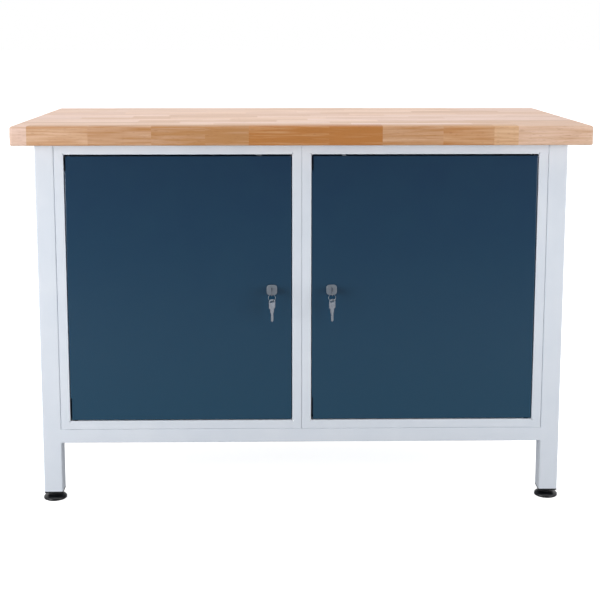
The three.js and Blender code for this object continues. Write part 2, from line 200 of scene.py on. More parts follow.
def mesh_object(name: str, bm: BMesh, smooth_angle: float = 35.0) -> Object:
    """Turn a bmesh into a linked object at the origin.

    Args:
        name: the piece's name.
        bm: the mesh, which is freed.
        smooth_angle: edges sharper than this many degrees stay crisp.

    Returns:
        The new object.
    """
    mesh = bpy.data.meshes.new(name)
    bm.to_mesh(mesh)
    bm.free()
    mesh.shade_smooth()
    mesh.set_sharp_from_angle(angle=math.radians(smooth_angle))
    piece = bpy.data.objects.new(name, mesh)
    bpy.context.scene.collection.objects.link(piece)
    return piece


def claim(
    piece: Object, body: str, material: Material | None = None,
    replaced: Iterable[str] = (),
) -> None:
    """Give a finished piece its material, slot and body.

    Args:
        piece: the piece, at the origin.
        body: the CAD body that it rides on.
        material: its material, or None where the mesh already has one.
        replaced: the CAD nodes that it stands for.
    """
    if material is not None:
        piece.data.materials.clear()
        piece.data.materials.append(material)
    for node in replaced:
        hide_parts(node)
    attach(piece, body)
    LOG.info("%s rides on %s", piece.name, body)


def coat(nodes: Iterable[str], material: Material) -> None:
    """Give CAD nodes a finish through their material slots.

    Args:
        nodes: names of the nodes.
        material: the finish.
    """
    for name in nodes:
        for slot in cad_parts[name].material_slots:
            slot.material = material
        LOG.info("%s is finished in %s", name, material.name)


def sweep_rings(bm: BMesh, rings: Sequence[Sequence[Vector]]) -> None:
    """Skin a row of point rings into a closed tube with capped ends.

    Args:
        bm: the mesh that gets the skin.
        rings: rings with the same number of points each.
    """
    made = [[bm.verts.new(point) for point in ring] for ring in rings]
    count = len(made[0])
    for near, far in zip(made, made[1:]):
        for i in range(count):
            j = (i + 1) % count
            bm.faces.new((near[i], near[j], far[j], far[i]))
    bm.faces.new(list(reversed(made[0])))
    bm.faces.new(made[-1])


# Finishes


@dataclass(frozen=True)
class Beech:
    """Steamed beech staves, glued, sanded and oiled: pinkish tan with fine lengthwise grain."""

    pale_pink: str = "#E8CDC4"
    pale_peach: str = "#E8C59E"
    deep_pink: str = "#B68B60"
    deep_orange: str = "#B2763F"
    fleck: str = "#8E5A34"
    ring_spacing: float = 7.0  # mm, wider than real growth rings so that they show
    ring_waver: float = 4.0  # how far the rings wander, in ring spacings
    ring_slope: float = 0.05  # how fast the rings change along the stave
    ring_edge: float = -0.2  # where the dark part of a ring starts on its wave
    ring_depth: float = 0.13  # how much the rings darken the wood
    streak_length: float = 110.0  # mm
    streak_width: float = 6.0  # mm
    streak_depth: float = 0.2
    waver_length: float = 220.0  # mm, of the noise that bends the rings
    waver_width: float = 30.0  # mm
    fleck_length: float = 11.0  # mm, coarser than real ray flecks so that they show
    fleck_width: float = 1.6  # mm
    fleck_band: tuple[float, float] = (0.64, 0.76)  # the part of the noise that is fleck
    fleck_depth: float = 0.22
    end_band: tuple[float, float] = (0.8, 0.95)  # how far a face turns to show end grain
    end_depth: float = 0.5
    own_shift: tuple[float, float, float] = (911.0, 577.0, 331.0)  # mm, times a stave's seed
    gloss: tuple[float, float] = (0.37, 0.55)
    ior: float = 1.5
    specular: float = 0.25
    bump_strength: float = 0.25
    bump_depth: float = 0.15  # mm

    @staticmethod
    def _stretched(place: Node, length: float, width: float, detail: float) -> Node:
        """Add noise that is drawn out along the stave.

        Args:
            place: the stave's own coordinates in millimetres.
            length: the size of the noise along the stave in millimetres.
            width: its size across the stave in millimetres.
            detail: its amount of fine detail.

        Returns:
            The noise, from 0 to 1.
        """
        add = partial(add_node, place.id_data)
        scaled = add(
            "ShaderNodeVectorMath", {0: place, 1: (1 / length, 1 / width, 1 / width)},
            operation="MULTIPLY")
        return add("ShaderNodeTexNoise", {"Vector": scaled, "Scale": 1.0, "Detail": detail})

    def _rings(self, place: NodeSocket, waver: Node) -> Node:
        """Add growth rings round each stave's heart.

        Args:
            place: the Object coordinates in millimetres.
            waver: the noise that bends the rings.

        Returns:
            How dark the ring is, from 0 to 1.
        """
        add = partial(add_node, place.id_data)
        heart = add("ShaderNodeAttribute", attribute_name="stave_heart").outputs["Vector"]
        away = add("ShaderNodeVectorMath", {0: place, 1: heart}, operation="SUBTRACT")
        lean = add(
            "ShaderNodeVectorMath", {0: away, 1: (self.ring_slope, 1.0, 1.0)},
            operation="MULTIPLY")
        reach = add("ShaderNodeVectorMath", {0: lean}, operation="LENGTH").outputs["Value"]
        warped = add(
            "ShaderNodeMath", {0: waver, 1: self.ring_waver * self.ring_spacing, 2: reach},
            operation="MULTIPLY_ADD")
        phase = add(
            "ShaderNodeMath", {0: warped, 1: 2 * math.pi / self.ring_spacing},
            operation="MULTIPLY")
        wave = add("ShaderNodeMath", {0: phase}, operation="SINE")
        return add(
            "ShaderNodeMapRange", {"Value": wave, "From Min": self.ring_edge, "From Max": 1.0})

    def material(self) -> Material:
        """Build the finish.

        Returns:
            A material that reads each stave's tone and heart from mesh attributes.
        """
        material, shader, place = new_material(
            "oiled_beech", IOR=self.ior, Specular_IOR_Level=self.specular)
        add = partial(add_node, material.node_tree)
        stave = add("ShaderNodeAttribute", attribute_name="stave_tone").outputs["Color"]
        lightness, warmth, seed = add("ShaderNodeSeparateColor", {0: stave}).outputs
        shift = add("ShaderNodeVectorMath", {0: self.own_shift, "Scale": seed}, operation="SCALE")
        own = add("ShaderNodeVectorMath", {0: place, 1: shift}, operation="ADD")
        streak = self._stretched(own, self.streak_length, self.streak_width, detail=3.0)
        waver = self._stretched(own, self.waver_length, self.waver_width, detail=1.0)
        rays = self._stretched(own, self.fleck_length, self.fleck_width, detail=0.0)
        light, deep = (
            add("ShaderNodeMix", {0: warmth, 6: linear(pink), 7: linear(yellow)},
                data_type="RGBA").outputs[2]
            for pink, yellow in ((self.pale_pink, self.pale_peach),
                                 (self.deep_pink, self.deep_orange)))
        grain = add(
            "ShaderNodeMapRange",
            {"Value": streak, "From Min": NOISE_BAND[0], "From Max": NOISE_BAND[1],
             "To Min": -self.streak_depth, "To Max": self.streak_depth})
        ringed = add(
            "ShaderNodeMath", {0: self._rings(place, waver), 1: -self.ring_depth, 2: grain},
            operation="MULTIPLY_ADD")
        blend = add("ShaderNodeMath", {0: lightness, 1: ringed}, operation="ADD", use_clamp=True)
        wood = add("ShaderNodeMix", {0: blend, 6: deep, 7: light}, data_type="RGBA").outputs[2]
        normal = add("ShaderNodeNewGeometry").outputs["Normal"]
        along = add("ShaderNodeSeparateXYZ", {0: normal}).outputs["X"]
        ends = add("ShaderNodeMath", {0: along}, operation="ABSOLUTE")
        for pattern, band, depth, shade in (
                (rays, self.fleck_band, self.fleck_depth, self.fleck),
                (ends, self.end_band, self.end_depth, self.deep_pink)):
            amount = add(
                "ShaderNodeMapRange",
                {"Value": pattern, "From Min": band[0], "From Max": band[1], "To Max": depth})
            wood = add(
                "ShaderNodeMix", {0: amount, 6: wood, 7: linear(shade)},
                data_type="RGBA").outputs[2]
        finish_surface(shader, wood, streak, self.gloss, rays, self.bump_strength, self.bump_depth)
        return material


@dataclass(frozen=True)
class PowderCoat:
    """Baked polyester powder on steel: an even colour with a faint orange peel, plus a painted
    floor reflection towards the bottom where a foot colour is given.
    """

    name: str
    colour: str
    shade: str
    roughness: float
    specular: float
    foot: str | None = None  # painted floor reflection: the colour at the lowest edge, where given
    ior: float = 1.5
    foot_height: float = 181.0  # mm, where the painted floor reflection is full
    head_height: float = 754.0  # mm, where the painted floor reflection starts
    peel: float = 2.6  # mm, coarser than the real 1 mm peel so that it shows
    peel_gloss: float = 0.05  # how far the peel changes the roughness either way
    peel_strength: float = 0.12
    peel_depth: float = 0.08  # mm
    cloud: float = 70.0  # mm

    def material(self) -> Material:
        """Build the finish.

        Returns:
            The material.
        """
        material, shader, place = new_material(
            self.name, IOR=self.ior, Specular_IOR_Level=self.specular)
        add = partial(add_node, material.node_tree)
        cloud = add("ShaderNodeTexNoise", {"Vector": place, "Scale": 1 / self.cloud, "Detail": 2.0})
        amount = add(
            "ShaderNodeMapRange",
            {"Value": cloud, "From Min": NOISE_BAND[0], "From Max": NOISE_BAND[1]})
        tint = add(
            "ShaderNodeMix", {0: amount, 6: linear(self.colour), 7: linear(self.shade)},
            data_type="RGBA").outputs[2]
        # Painted floor reflection: lower down, the coat fades towards the foot colour.
        if self.foot is not None:
            height = add("ShaderNodeSeparateXYZ", {0: place}).outputs["Z"]
            painted_reflection_share = add(
                "ShaderNodeMapRange",
                {"Value": height, "From Min": self.head_height, "From Max": self.foot_height})
            tint = add(
                "ShaderNodeMix", {0: painted_reflection_share, 6: tint, 7: linear(self.foot)},
                data_type="RGBA").outputs[2]
        peel = add("ShaderNodeTexNoise", {"Vector": place, "Scale": 1 / self.peel, "Detail": 1.0})
        gloss = (self.roughness - self.peel_gloss, self.roughness + self.peel_gloss)
        finish_surface(shader, tint, peel, gloss, peel, self.peel_strength, self.peel_depth)
        return material


@dataclass(frozen=True)
class MouldedPlastic:
    """Injection-moulded black polyamide: deep black with a soft shine and a fine grain."""

    name: str = "black_polyamide"
    colour: str = "#0D0F14"
    worn: str = "#1B1D22"
    worn_band: tuple[float, float] = (0.45, 0.75)  # the part of the grain that looks worn
    gloss: tuple[float, float] = (0.22, 0.42)
    ior: float = 1.52
    grain: float = 1.8  # mm, coarser than the real mould grain so that it shows
    grain_strength: float = 0.15
    grain_depth: float = 0.05  # mm

    def material(self) -> Material:
        """Build the finish.

        Returns:
            The material.
        """
        material, shader, place = new_material(self.name, IOR=self.ior)
        add = partial(add_node, material.node_tree)
        grain = add("ShaderNodeTexNoise", {"Vector": place, "Scale": 1 / self.grain, "Detail": 2.0})
        scuff = add(
            "ShaderNodeMapRange",
            {"Value": grain, "From Min": self.worn_band[0], "From Max": self.worn_band[1]})
        tint = add(
            "ShaderNodeMix", {0: scuff, 6: linear(self.colour), 7: linear(self.worn)},
            data_type="RGBA").outputs[2]
        finish_surface(
            shader, tint, grain, self.gloss, grain, self.grain_strength, self.grain_depth)
        return material


@dataclass(frozen=True)
class PlatedMetal:
    """Electroplated metal: a bright skin with small cloudy crystals and drawn scratches."""

    name: str
    colour: str
    dull: str
    roughness: float
    crystal: float  # mm
    smoother: float = 0.04  # how far the scratches lower the roughness
    rougher: float = 0.07  # how far they raise it
    scratch_width: float = 0.5  # mm
    scratch_length: float = 5.0  # mm
    scratch_strength: float = 0.06
    scratch_depth: float = 0.03  # mm

    def material(self) -> Material:
        """Build the finish.

        Returns:
            The material.
        """
        material, shader, place = new_material(self.name, Metallic=1.0)
        add = partial(add_node, material.node_tree)
        cells = add("ShaderNodeTexVoronoi", {"Vector": place, "Scale": 1 / self.crystal})
        patch = add("ShaderNodeSeparateColor", {0: cells.outputs["Color"]})
        tint = add(
            "ShaderNodeMix", {0: patch, 6: linear(self.colour), 7: linear(self.dull)},
            data_type="RGBA").outputs[2]
        drawn = add(
            "ShaderNodeVectorMath",
            {0: place,
             1: (1 / self.scratch_width, 1 / self.scratch_length, 1 / self.scratch_width)},
            operation="MULTIPLY")
        lines = add("ShaderNodeTexNoise", {"Vector": drawn, "Scale": 1.0, "Detail": 2.0})
        gloss = (self.roughness - self.smoother, self.roughness + self.rougher)
        finish_surface(shader, tint, lines, gloss, lines, self.scratch_strength, self.scratch_depth)
        return material


@dataclass
class Palette:
    """Every finish on the bench, built once."""

    beech: Material = field(default_factory=Beech().material)
    grey: Material = field(default_factory=PowderCoat(
        "grey_powder_coat", "#DBE1EA", "#D6DDE7", 0.42, 0.5).material)
    # The doors' blue turns lighter and greener towards the bottom: a painted floor reflection.
    blue: Material = field(default_factory=PowderCoat(
        "blue_powder_coat", "#17344F", "#193750", 0.2, 0.36, foot="#1B425A").material)
    black: Material = field(default_factory=MouldedPlastic().material)
    zinc: Material = field(default_factory=PlatedMetal(
        "zinc_plate", "#B4B8BC", "#9DA1A6", 0.36, 2.2).material)
    dark_steel: Material = field(default_factory=PlatedMetal(
        "black_oxide_steel", "#2A2B2E", "#202124", 0.45, 1.8).material)
    lock_nickel: Material = field(default_factory=PlatedMetal(
        "satin_nickel_casting", "#ABB4BF", "#A0A9B4", 0.34, 1.6).material)
    key_nickel: Material = field(default_factory=PlatedMetal(
        "nickel_plated_key", "#A2A8B3", "#989FA9", 0.24, 1.2).material)


# Geometry Nodes


@dataclass
class GrownField:
    """A Geometry Nodes tree with named inputs, grown from a mesh into a plain mesh."""

    tree: NodeTree
    source: NodeSocket
    sizes: dict[str, NodeSocket]
    smooth_angle: float = 40.0

    @classmethod
    def start(cls, name: str, sizes: Sequence[str]) -> "GrownField":
        """Make an empty tree.

        Args:
            name: the tree's name.
            sizes: the names of its inputs for lengths.

        Returns:
            The field, ready for its nodes.
        """
        tree = bpy.data.node_groups.new(name, "GeometryNodeTree")
        sockets = {"Places": "Geometry", **dict.fromkeys(sizes, "Float"), "Material": "Material"}
        for label, kind in sockets.items():
            tree.interface.new_socket(label, in_out="INPUT", socket_type=f"NodeSocket{kind}")
        tree.interface.new_socket("Pieces", in_out="OUTPUT", socket_type="NodeSocketGeometry")
        entry = add_node(tree, "NodeGroupInput").outputs
        return cls(tree, entry["Places"], {label: entry[label] for label in (*sizes, "Material")})

    def end(self, instances: Node) -> None:
        """Realize the instances and give them their material.

        Args:
            instances: the instances to end with.
        """
        add = partial(add_node, self.tree)
        real = add("GeometryNodeRealizeInstances", {0: instances})
        smooth = add("GeometryNodeSetShadeSmooth", {0: real})
        dressed = add(
            "GeometryNodeSetMaterial", {"Geometry": smooth, "Material": self.sizes["Material"]})
        add("NodeGroupOutput", {0: dressed})

    def grow(self, name: str, places: Mesh, values: dict[str, Any]) -> Object:
        """Run the tree on a mesh.

        Args:
            name: the new piece's name.
            places: the points or edges that the tree starts from.
            values: a value for each named input.

        Returns:
            A plain mesh object at the origin.
        """
        holder = bpy.data.objects.new(name, places)
        bpy.context.scene.collection.objects.link(holder)
        modifier = holder.modifiers.new("grow", "NODES")
        modifier.node_group = self.tree
        for item in self.tree.interface.items_tree:
            if item.in_out == "INPUT" and item.name in values:
                modifier[item.identifier] = values[item.name]
        graph = bpy.context.evaluated_depsgraph_get()
        mesh = bpy.data.meshes.new_from_object(holder.evaluated_get(graph), depsgraph=graph)
        holder.modifiers.remove(modifier)
        holder.data = mesh
        mesh.name = name
        mesh.set_sharp_from_angle(angle=math.radians(self.smooth_angle))
        return holder


@dataclass(frozen=True)
class Post:
    """One cylinder of a fixing, in shares of the fixing's own sizes."""

    sides: int
    girth: float  # its radius as a share of the head's diameter
    size: str  # the size that the next two are shares of
    length: float
    middle: float  # the height of its middle above the seat


HEXAGON = Post(6, 0.36, "Head Height", 1.0, 0.5)
WASHER = Post(32, 0.5, "Head Height", 0.25, 0.125)
SHANK = Post(12, 0.25, "Shank Length", 1.0, -0.5)


@dataclass
class Fixings:
    """Rows of rivets, screws or spot-weld marks, all of one kind."""

    head: Head
    diameter: float
    height: float
    shank: float = 0.0
    ball_sides: int = 20
    ball_rings: int = 10
    grown: GrownField = field(init=False)

    def __post_init__(self) -> None:
        """Build the tree for this kind of head."""
        self.grown = GrownField.start(
            f"{self.head.value}_fixings", ("Head Diameter", "Head Height", "Shank Length"))
        add = partial(add_node, self.grown.tree)
        if self.head is Head.HEX:
            shapes = [self._post(HEXAGON), self._post(WASHER)]
        else:
            shapes = [self._dome()]
        if self.head is not Head.SPOT:
            shapes.append(self._post(SHANK))
        joined = add("GeometryNodeJoinGeometry")
        for shape in shapes:
            feed(joined, {0: shape})
        axis = add("GeometryNodeInputNamedAttribute", {"Name": "axis"}, data_type="FLOAT_VECTOR")
        facing = add("FunctionNodeAlignRotationToVector", {"Vector": axis}, axis="Z")
        self.grown.end(add(
            "GeometryNodeInstanceOnPoints",
            {"Points": self.grown.source, "Instance": joined, "Rotation": facing}))

    def _post(self, post: Post) -> Node:
        """Add one cylinder on the fixing's axis.

        Args:
            post: its proportions.

        Returns:
            The cylinder.
        """
        add, sizes = partial(add_node, self.grown.tree), self.grown.sizes
        radius, length, middle = (
            add("ShaderNodeMath", {0: sizes[size], 1: share}, operation="MULTIPLY")
            for size, share in (("Head Diameter", post.girth), (post.size, post.length),
                                (post.size, post.middle)))
        rod = add(
            "GeometryNodeMeshCylinder",
            {"Vertices": post.sides, "Radius": radius, "Depth": length})
        lift = add("ShaderNodeCombineXYZ", {2: middle})
        return add("GeometryNodeTransform", {"Geometry": rod, "Translation": lift})

    def _dome(self) -> Node:
        """Add a flattened ball whose upper half is the head.

        Returns:
            The ball.
        """
        add, sizes = partial(add_node, self.grown.tree), self.grown.sizes
        half = add("ShaderNodeMath", {0: sizes["Head Diameter"], 1: 0.5}, operation="MULTIPLY")
        ball = add(
            "GeometryNodeMeshUVSphere",
            {"Segments": self.ball_sides, "Rings": self.ball_rings, "Radius": 1.0})
        reach = add("ShaderNodeCombineXYZ", {0: half, 1: half, 2: sizes["Head Height"]})
        return add("GeometryNodeTransform", {"Geometry": ball, "Scale": reach})

    def build(self, name: str, places: Sequence[Place], material: Material) -> Object:
        """Set the fixings on their places.

        Args:
            name: the new piece's name.
            places: each point with the direction that the head faces.
            material: the fixings' finish.

        Returns:
            One plain mesh of all the fixings.
        """
        mesh = bpy.data.meshes.new(name)
        mesh.from_pydata([tuple(point) for point, _ in places], [], [])
        axis = mesh.attributes.new("axis", "FLOAT_VECTOR", "POINT")
        axis.data.foreach_set("vector", [v for _, direction in places for v in direction])
        return self.grown.grow(name, mesh, {
            "Head Diameter": self.diameter, "Head Height": self.height,
            "Shank Length": self.shank, "Material": material})


@dataclass
class WeldBeads:
    """Fillet welds where tubes meet: ripples laid along straight seams."""

    width: float = 5 * MM
    throat: float = 2.2 * MM
    pitch: float = 1.6 * MM
    overlap: float = 2.2  # the length of a ripple in pitches
    ripple_depth: float = 2.0  # in throats, because half of it is sunk
    evenness: tuple[float, float] = (0.88, 1.08)  # the smallest and largest ripple
    ball_sides: int = 10
    ball_rings: int = 6
    seed: int = 11
    grown: GrownField = field(init=False)

    def __post_init__(self) -> None:
        """Build the tree that lays ripples along edges."""
        self.grown = GrownField.start("weld_ripples", ("Bead Width", "Throat", "Ripple Pitch"))
        add, sizes = partial(add_node, self.grown.tree), self.grown.sizes
        seam = add("GeometryNodeMeshToCurve", {"Mesh": self.grown.source})
        steps = add(
            "GeometryNodeCurveToPoints", {"Curve": seam, "Length": sizes["Ripple Pitch"]},
            mode="LENGTH")
        ball = add(
            "GeometryNodeMeshUVSphere",
            {"Segments": self.ball_sides, "Rings": self.ball_rings, "Radius": 0.5})
        long, deep = (
            add("ShaderNodeMath", {0: sizes[size], 1: share}, operation="MULTIPLY")
            for size, share in (("Ripple Pitch", self.overlap), ("Throat", self.ripple_depth)))
        shape = add("ShaderNodeCombineXYZ", {0: deep, 1: sizes["Bead Width"], 2: long})
        ripple = add("GeometryNodeTransform", {"Geometry": ball, "Scale": shape})
        vary = add(
            "FunctionNodeRandomValue",
            {2: self.evenness[0], 3: self.evenness[1], "Seed": self.seed}, data_type="FLOAT")
        self.grown.end(add(
            "GeometryNodeInstanceOnPoints",
            {"Points": steps, "Instance": ripple, "Rotation": steps.outputs["Rotation"],
             "Scale": vary.outputs[1]}))

    def build(self, name: str, seams: Sequence[Seam], material: Material) -> Object:
        """Lay beads along seams.

        Args:
            name: the new piece's name.
            seams: the two ends of each seam.
            material: the coat over the welds.

        Returns:
            One plain mesh of all the beads.
        """
        mesh = bpy.data.meshes.new(name)
        points = [tuple(p) for seam in seams for p in seam]
        mesh.from_pydata(points, [(2 * i, 2 * i + 1) for i in range(len(seams))], [])
        return self.grown.grow(name, mesh, {
            "Bead Width": self.width, "Throat": self.throat, "Ripple Pitch": self.pitch,
            "Material": material})


# Sub-assemblies


@dataclass
class Worktop:
    """The beech slab, glued up from staves that run along the bench."""

    rows: int = 14
    shortest: float = 0.16
    longest: float = 0.36
    corner: float = 6 * MM
    top_arris: float = 5 * MM
    foot_arris: float = 3 * MM
    arris_steps: int = 6
    same_level: float = 0.1 * MM  # heights this near count as one
    lightness: tuple[float, float] = (0.46, 0.84)
    warmth: tuple[float, float] = (0.0, 0.4)
    heart_aside: tuple[float, float] = (-90.0, 90.0)  # mm from the stave to the tree's heart
    heart_depth: tuple[float, float] = (-150.0, -40.0)  # mm
    smooth_angle: float = 5.0
    seed: int = 5
    # Joints and tones of the front row: place along X, lightness, warmth. The staves differ in
    # tone, and grow lighter and paler towards both ends as painted light
    front_row: tuple[tuple[float, float, float], ...] = (
        (-0.600, 0.80, 0.15), (-0.565, 0.42, 0.62), (-0.440, 0.26, 0.45), (-0.310, 0.14, 0.40),
        (-0.200, 0.07, 0.40), (-0.110, 0.10, 0.98), (0.055, -0.03, 1.00),
        (0.165, 0.26, 0.60), (0.290, 0.30, 0.85), (0.395, 0.52, 0.85), (0.445, 0.66, 0.40))

    def _layout(self, low: Vector, high: Vector) -> list[list[tuple[float, float, float]]]:
        """Lay out the staves.

        Args:
            low: the slab's lowest corner.
            high: the slab's highest corner.

        Returns:
            For each row from the front, each stave's start along X, lightness and warmth.
        """
        dice = random.Random(self.seed)
        rows = [list(self.front_row)]
        for _ in range(1, self.rows):
            start = low.x - dice.uniform(0.0, self.shortest)
            row = []
            while start < high.x:
                row.append((start, dice.uniform(*self.lightness), dice.uniform(*self.warmth)))
                start += dice.uniform(self.shortest, self.longest)
            rows.append(row)
        return rows

    def _slab(self, middle: Vector, size: Vector) -> BMesh:
        """Build the slab with its eased edges.

        Args:
            middle: the slab's middle.
            size: its length, depth and thickness.

        Returns:
            The slab in one piece.
        """
        bm = bmesh.new()
        bmesh.ops.create_cube(bm, size=1.0, matrix=Matrix.LocRotScale(middle, None, size))

        def ease(edges: list[BMEdge], radius: float) -> None:
            """Round some edges off."""
            bmesh.ops.bevel(bm, geom=edges, offset=radius, segments=self.arris_steps,
                            profile=0.5, affect="EDGES")

        half = size.z / 2
        ease([e for e in bm.edges if abs(e.verts[0].co.z - e.verts[1].co.z) > half], self.corner)
        for level, arris in ((middle.z + half, self.top_arris), (middle.z - half, self.foot_arris)):
            ease([e for e in bm.edges
                  if all(abs(v.co.z - level) < self.same_level for v in e.verts)], arris)
        return bm

    def build(self) -> Object:
        """Build the slab, cut along every glue line, with each stave's tone on its faces.

        Returns:
            The slab.
        """
        low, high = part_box("worktop")
        middle, size = (low + high) / 2, high - low
        bm = self._slab(middle, size)
        width = size.y / self.rows
        for k in range(1, self.rows):
            bmesh.ops.bisect_plane(
                bm, geom=bm.verts[:] + bm.edges[:] + bm.faces[:],
                plane_co=(0, low.y + k * width, 0), plane_no=(0, 1, 0))
        layout = self._layout(low, high)

        def row_of(face: BMFace) -> int:
            """The row that a face lies in."""
            y = face.calc_center_median().y
            return min(self.rows - 1, max(0, int((y - low.y) / width)))

        for k, row in enumerate(layout):
            for start, _, _ in row:
                if not low.x + self.corner < start < high.x - self.corner:
                    continue
                faces = [f for f in bm.faces if row_of(f) == k]
                edges = list({e for f in faces for e in f.edges})
                verts = list({v for f in faces for v in f.verts})
                bmesh.ops.bisect_plane(
                    bm, geom=verts + edges + faces, plane_co=(start, 0, 0),
                    plane_no=(1, 0, 0))
        # Bevels and cuts leave the order of the faces open, so their places set it
        ordered = sorted(bm.faces, key=lambda face: tuple(face.calc_center_median()))
        bm.faces.sort(key={face: i for i, face in enumerate(ordered)}.get)
        tones, hearts = [], []
        dice = random.Random(self.seed + 1)
        own = [[(dice.random(), dice.uniform(*self.heart_aside), dice.uniform(*self.heart_depth))
                for _ in row] for row in layout]
        for face in bm.faces:
            k = row_of(face)
            x = face.calc_center_median().x
            index = max(i for i, stave in enumerate(layout[k]) if stave[0] <= x or i == 0)
            seed, aside, deep = own[k][index]
            heart_y = (low.y + (k + 0.5) * width) / MM + aside
            tones += [(*layout[k][index][1:], seed, 1.0)] * len(face.loops)
            hearts += [(x / MM, heart_y, middle.z / MM + deep)] * len(face.loops)
        piece = mesh_object("worktop_staves", bm, self.smooth_angle)
        for name, kind, key, values in (
                ("stave_tone", "FLOAT_COLOR", "color", tones),
                ("stave_heart", "FLOAT_VECTOR", "vector", hearts)):
            layer = piece.data.attributes.new(name, kind, "CORNER")
            layer.data.foreach_set(key, [number for value in values for number in value])
        return piece

    def dress(self, palette: Palette) -> None:
        """Build the slab in beech, in place of the plain one."""
        claim(self.build(), BENCH, palette.beech, ["worktop"])


@dataclass
class BenchFrame:
    """Square-tube legs and rails, welded, coated and screwed to the worktop."""

    screw_inset: float = 0.09
    leg_corner: float = 3 * MM
    rail_corner: float = 2 * MM
    corner_steps: int = 6
    bead_stop: float = 3 * MM  # below a rail's top, where a bead would show
    bead_inset: float = 1 * MM  # from the ends of an upright bead
    smooth_angle: float = 30.0
    beads: WeldBeads = field(default_factory=WeldBeads)
    screws: Fixings = field(default_factory=lambda: Fixings(
        Head.HEX, diameter=16 * MM, height=5 * MM, shank=12 * MM))

    def _seams(self) -> list[Seam]:
        """Find the corners where rails butt against legs.

        Returns:
            The two ends of each seam that a welder can reach.
        """
        seams: list[Seam] = []
        for side in Side:
            leg_low, leg_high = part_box(f"leg_front_{side.word}")
            inner = leg_high.x if side is Side.LEFT else leg_low.x
            for rail in CROSS_RAILS:
                low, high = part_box(rail)
                seams.append(((inner, low.y + self.rail_corner, low.z),
                              (inner, high.y - self.rail_corner, low.z)))
                if rail == "rail_bottom_front":
                    seams.append(((inner, high.y, low.z),
                                  (inner, high.y, high.z - self.bead_stop)))
            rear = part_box(f"leg_rear_{side.word}")[0].y
            for rail in (f"rail_bottom_{side.word}", f"rail_top_{side.word}"):
                low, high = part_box(rail)
                outer = low.x if side is Side.LEFT else high.x
                top = high.z - (self.bead_stop if "top" in rail else 0.0)
                for y in (leg_high.y, rear):
                    seams.append(((low.x + self.rail_corner, y, low.z),
                                  (high.x - self.rail_corner, y, low.z)))
                    seams.append(((outer, y, low.z + self.bead_inset),
                                  (outer, y, top - self.bead_inset)))
        return seams

    def _flush_welds(self) -> Object:
        """Fill the butt joints of the rails that lie flush with the legs, ground smooth.

        Returns:
            One mesh with a closed filling at each rail end.
        """
        bm = bmesh.new()
        steps = [i / self.corner_steps for i in range(self.corner_steps + 1)]
        for rail in CROSS_RAILS:
            low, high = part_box(rail)
            section = []
            for y, z, dy, dz in (
                    (low.y, low.z, 1, 1), (high.y, low.z, -1, 1),
                    (high.y, high.z, -1, -1), (low.y, high.z, 1, -1)):
                arc = [(y + dy * self.rail_corner * (1 - t) ** 2,
                        z + dz * self.rail_corner * t ** 2) for t in steps]
                section += arc if dy * dz < 0 else arc[::-1]
            for side in Side:
                leg_low, leg_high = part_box(f"leg_rear_{side.word}")
                rail_end, inner = (
                    (low.x, leg_high.x) if side is Side.LEFT else (high.x, leg_low.x))
                reach = (rail_end, inner + side.value * self.leg_corner)
                sweep_rings(bm, [[Vector((x, y, z)) for y, z in section] for x in reach])
        bmesh.ops.recalc_face_normals(bm, faces=bm.faces[:])
        return mesh_object("flush_welds", bm, self.smooth_angle)

    def _screw_places(self) -> list[Place]:
        """Find where the worktop's screws go up through the top rails.

        Returns:
            Each screw's place on the rail's underside, facing down.
        """
        points: list[Point] = []
        for side in Side:
            low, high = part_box(f"rail_top_{side.word}")
            x = (low.x + high.x) / 2
            for y in (low.y + self.screw_inset, high.y - self.screw_inset):
                points.append((x, y, low.z))
        low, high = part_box("rail_top_rear")
        y = (low.y + high.y) / 2
        for x in (low.x + self.screw_inset, 0.0, high.x - self.screw_inset):
            points.append((x, y, low.z))
        return [(point, (0.0, 0.0, -1.0)) for point in points]

    def dress(self, palette: Palette) -> None:
        """Coat the tubes and add the welds and screws.

        Args:
            palette: the bench's finishes.
        """
        coat([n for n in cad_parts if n.startswith(("leg_", "rail_"))], palette.grey)
        beads = self.beads.build("frame_welds", self._seams(), palette.grey)
        claim(beads, BENCH)
        claim(self._flush_welds(), BENCH, palette.grey)
        screws = self.screws.build("worktop_screws", self._screw_places(), palette.zinc)
        claim(screws, BENCH)


